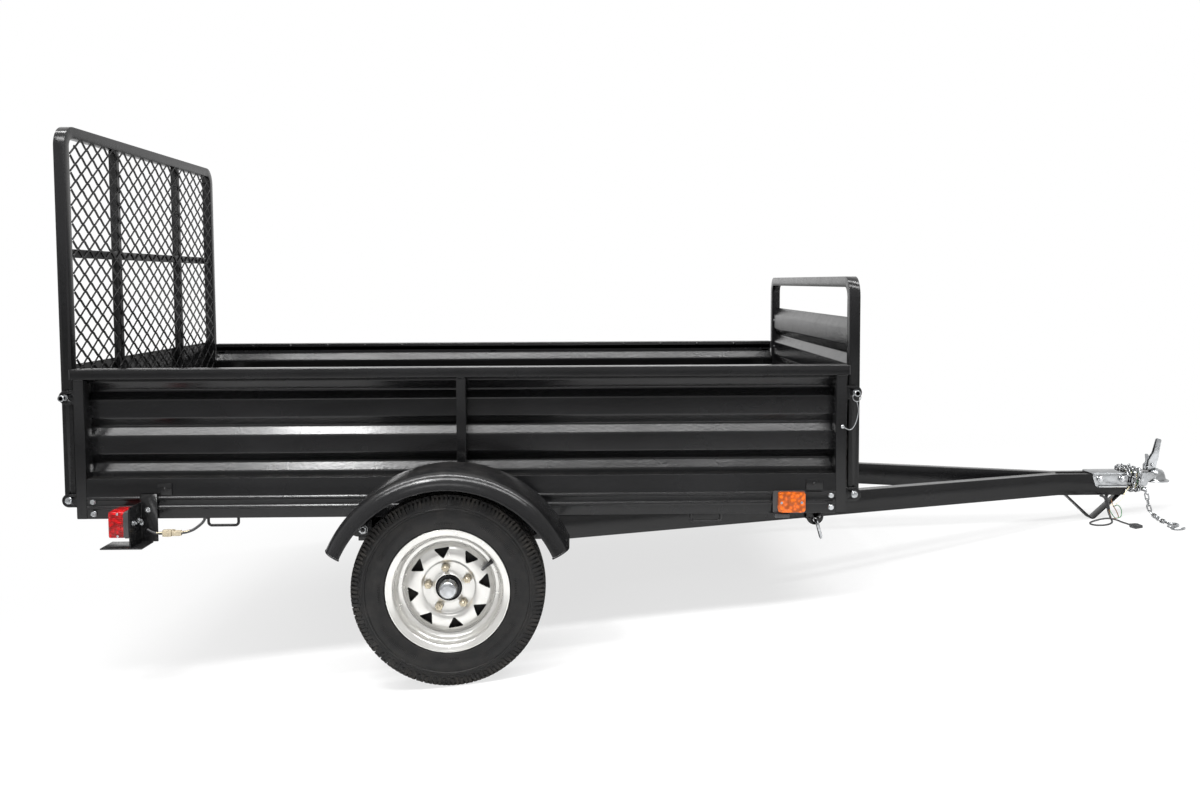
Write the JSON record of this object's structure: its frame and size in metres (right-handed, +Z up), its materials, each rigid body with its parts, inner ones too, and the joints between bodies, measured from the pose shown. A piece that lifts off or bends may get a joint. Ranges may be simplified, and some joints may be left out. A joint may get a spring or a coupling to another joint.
{
  "type": "utility trailer",
  "caption": "Single-axle tilting utility trailer with corrugated sides, a mesh ramp gate at the rear, a folding front gate, round-topped fenders and an A-shaped drawbar with a ball coupler.",
  "frame": {"origin": "on the ground under the middle of the parked trailer: halfway from the rearmost point to the tip of the coupler, on the centre line", "axes": "+X forwards towards the coupler, +Y to the left, +Z up; the trailer stands nose-down on its two tyres and its parking foot"},
  "size_m": [3.6198, 1.95, 1.6882],
  "materials": {
    "black_paint": "gloss powder coat",
    "zinc_plate": "satin zinc plate",
    "wheel_grey": "satin pale grey paint",
    "tyre_rubber": "matte rubber",
    "red_lens": "clear red lens",
    "amber_lens": "clear amber lens",
    "black_plastic": "moulded plastic",
    "beige_plastic": "moulded plastic"
  },
  "bodies": {
    "chassis": {"drawbar_arm_right": "black_paint", "drawbar_arm_left": "black_paint", "drawbar_cross_tubes": "black_paint", "coupler": "zinc_plate", "coupler_latch": "zinc_plate", "parking_foot": "black_paint", "tilt_pivot_pins": "zinc_plate", "axle": "black_paint", "spring_hangers": "black_paint", "leaf_spring_right": "black_paint", "leaf_spring_left": "black_paint", "fender_right": "black_paint", "fender_left": "black_paint", "fender_stays": "black_paint", "safety_chain": "zinc_plate", "chain_hook": "zinc_plate", "wiring_grommet": "black_plastic", "wiring_cord": "black_plastic", "wiring_plug": "black_plastic"},
    "bed": {"lower_rail_right": "black_paint", "lower_rail_left": "black_paint", "end_sills": "black_paint", "cross_members": "black_paint", "floor_panel": "black_paint", "side_panel_right": "black_paint", "side_panel_left": "black_paint", "top_rail_right": "black_paint", "top_rail_left": "black_paint", "corner_posts": "black_paint", "centre_posts": "black_paint", "tie_down_loops": "black_paint", "tilt_ears": "black_paint", "lock_ears": "black_paint", "lock_pins": "zinc_plate", "gate_hinge_ears": "black_paint", "gate_pins": "zinc_plate", "tail_lamps": "red_lens", "tail_lamp_brackets": "black_paint", "tail_lamp_wires": "black_plastic", "wire_connectors": "beige_plastic", "marker_lamps": "amber_lens"},
    "ramp_gate": {"ramp_frame": "black_paint", "ramp_bars": "black_paint", "ramp_mesh": "black_paint", "ramp_lower_panel": "black_paint"},
    "front_gate": {"front_hoop": "black_paint", "front_panel": "black_paint"},
    "wheel_right": {"tyre_right": "tyre_rubber", "rim_right": "wheel_grey", "hub_right": "zinc_plate"},
    "wheel_left": {"tyre_left": "tyre_rubber", "rim_left": "wheel_grey", "hub_left": "zinc_plate"}
  },
  "joints": [
    {"name": "bed_tilt", "type": "hinge", "parent": "chassis", "child": "bed", "pos_m": [-0.96505, 0, 0.41252], "axis": [0, -1, 0], "range_deg": [0, 25]},
    {"name": "ramp_gate_hinge", "type": "hinge", "parent": "bed", "child": "ramp_gate", "pos_m": [-1.78992, 0, 0.59499], "axis": [0, -1, 0], "range_deg": [0, 115]},
    {"name": "front_gate_hinge", "type": "hinge", "parent": "bed", "child": "front_gate", "pos_m": [0.5178, 0, 0.33787], "axis": [0, 1, 0], "range_deg": [0, 88]},
    {"name": "wheel_right_spin", "type": "hinge", "parent": "chassis", "child": "wheel_right", "pos_m": [-0.67941, -0.895, 0.267], "axis": [0, 1, 0], "continuous": true},
    {"name": "wheel_left_spin", "type": "hinge", "parent": "chassis", "child": "wheel_left", "pos_m": [-0.67941, 0.895, 0.267], "axis": [0, 1, 0], "continuous": true}
  ]
}
